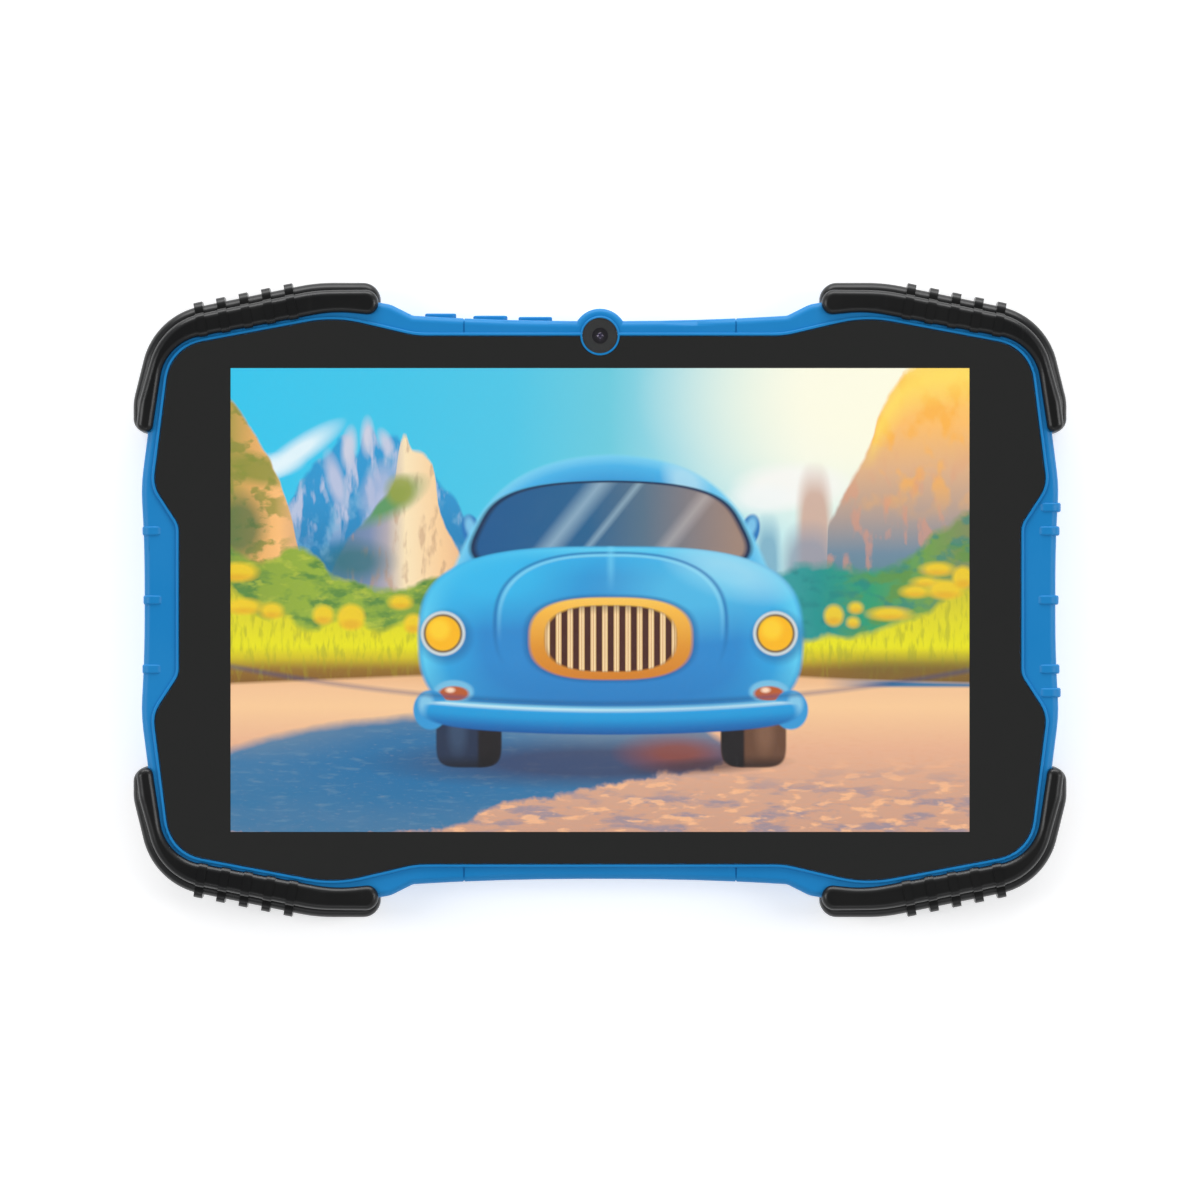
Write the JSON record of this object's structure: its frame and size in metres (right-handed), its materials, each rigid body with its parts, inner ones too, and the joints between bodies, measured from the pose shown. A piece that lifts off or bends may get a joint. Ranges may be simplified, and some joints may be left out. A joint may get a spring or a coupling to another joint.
{
  "type": "rugged kids tablet",
  "caption": "Rugged children's touch tablet: blue two-part case, black rubber corner bumpers, lit wide screen, front camera, power and volume buttons.",
  "frame": {"origin": "middle of the tablet's box, on the plane of the bumpers' undersides that the tablet lies on", "axes": "+X along the long side, +Y towards the long edge with the camera and the buttons, +Z out of the screen"},
  "size_m": [0.2178, 0.1482, 0.0174],
  "materials": {
    "blue_shell": "satin moulded blue",
    "bumper_rubber": "soft black",
    "cover_glass": "polished clear",
    "black_print": "black ink under glass",
    "adhesive": "black adhesive",
    "lcd_picture": "lit display cell",
    "backlight_tray": "pressed tray",
    "pressed_steel": "bright pressed steel",
    "amber_flex": "polyimide film",
    "lens_glass": "coated lens",
    "black_plastic": "moulded black",
    "circuit_board": "green solder mask",
    "switch_metal": "bright",
    "brass_studs": "turned brass",
    "battery_foil": "laminated foil pouch",
    "lead_insulation": "insulated wire",
    "speaker_paper": "pressed cone",
    "mesh_cloth": "woven dust mesh",
    "camera_trim": "black trim",
    "screw_steel": "blackened steel"
  },
  "bodies": {
    "tablet": {"front_frame": "blue_shell", "rear_cover": "blue_shell", "bumper_top_right": "bumper_rubber", "bumper_top_left": "bumper_rubber", "bumper_bottom_right": "bumper_rubber", "bumper_bottom_left": "bumper_rubber", "touch_glass": "cover_glass", "camera_window": "cover_glass", "rear_camera_window": "cover_glass", "glass_border_print": "black_print", "glass_gasket": "adhesive", "battery_tape": "adhesive", "lcd_cell": "lcd_picture", "backlight_unit": "backlight_tray", "mid_plate": "pressed_steel", "usb_socket": "pressed_steel", "shield_can": "pressed_steel", "display_flex": "amber_flex", "touch_flex": "amber_flex", "button_flex": "amber_flex", "antenna": "amber_flex", "front_camera_lens": "lens_glass", "front_camera": "black_plastic", "headphone_jack": "black_plastic", "card_socket": "black_plastic", "board_chips": "black_plastic", "speaker_left": "black_plastic", "speaker_right": "black_plastic", "rear_camera": "black_plastic", "board_connectors": "black_plastic", "button_board": "circuit_board", "main_board": "circuit_board", "protection_board": "circuit_board", "button_switches": "switch_metal", "microphone": "switch_metal", "board_studs": "brass_studs", "battery_cell_left": "battery_foil", "battery_cell_right": "battery_foil", "battery_leads": "lead_insulation", "speaker_leads": "lead_insulation", "antenna_cable": "lead_insulation", "speaker_cones": "speaker_paper", "speaker_mesh": "mesh_cloth", "rear_camera_ring": "camera_trim", "case_screws": "screw_steel", "plate_screws": "screw_steel", "board_screws": "screw_steel"},
    "power_key": {"power_button": "blue_shell"},
    "volume_down_key": {"volume_down_button": "blue_shell"},
    "volume_up_key": {"volume_up_button": "blue_shell"}
  },
  "joints": [
    {"name": "power_press", "type": "slide", "parent": "tablet", "child": "power_key", "axis": [0, -1, 0], "range_m": [0, 0.0004], "stiffness_N_per_m": 3000, "springref_m": -0.0002},
    {"name": "volume_down_press", "type": "slide", "parent": "tablet", "child": "volume_down_key", "axis": [0, -1, 0], "range_m": [0, 0.0004], "stiffness_N_per_m": 3000, "springref_m": -0.0002},
    {"name": "volume_up_press", "type": "slide", "parent": "tablet", "child": "volume_up_key", "axis": [0, -1, 0], "range_m": [0, 0.0004], "stiffness_N_per_m": 3000, "springref_m": -0.0002}
  ]
}
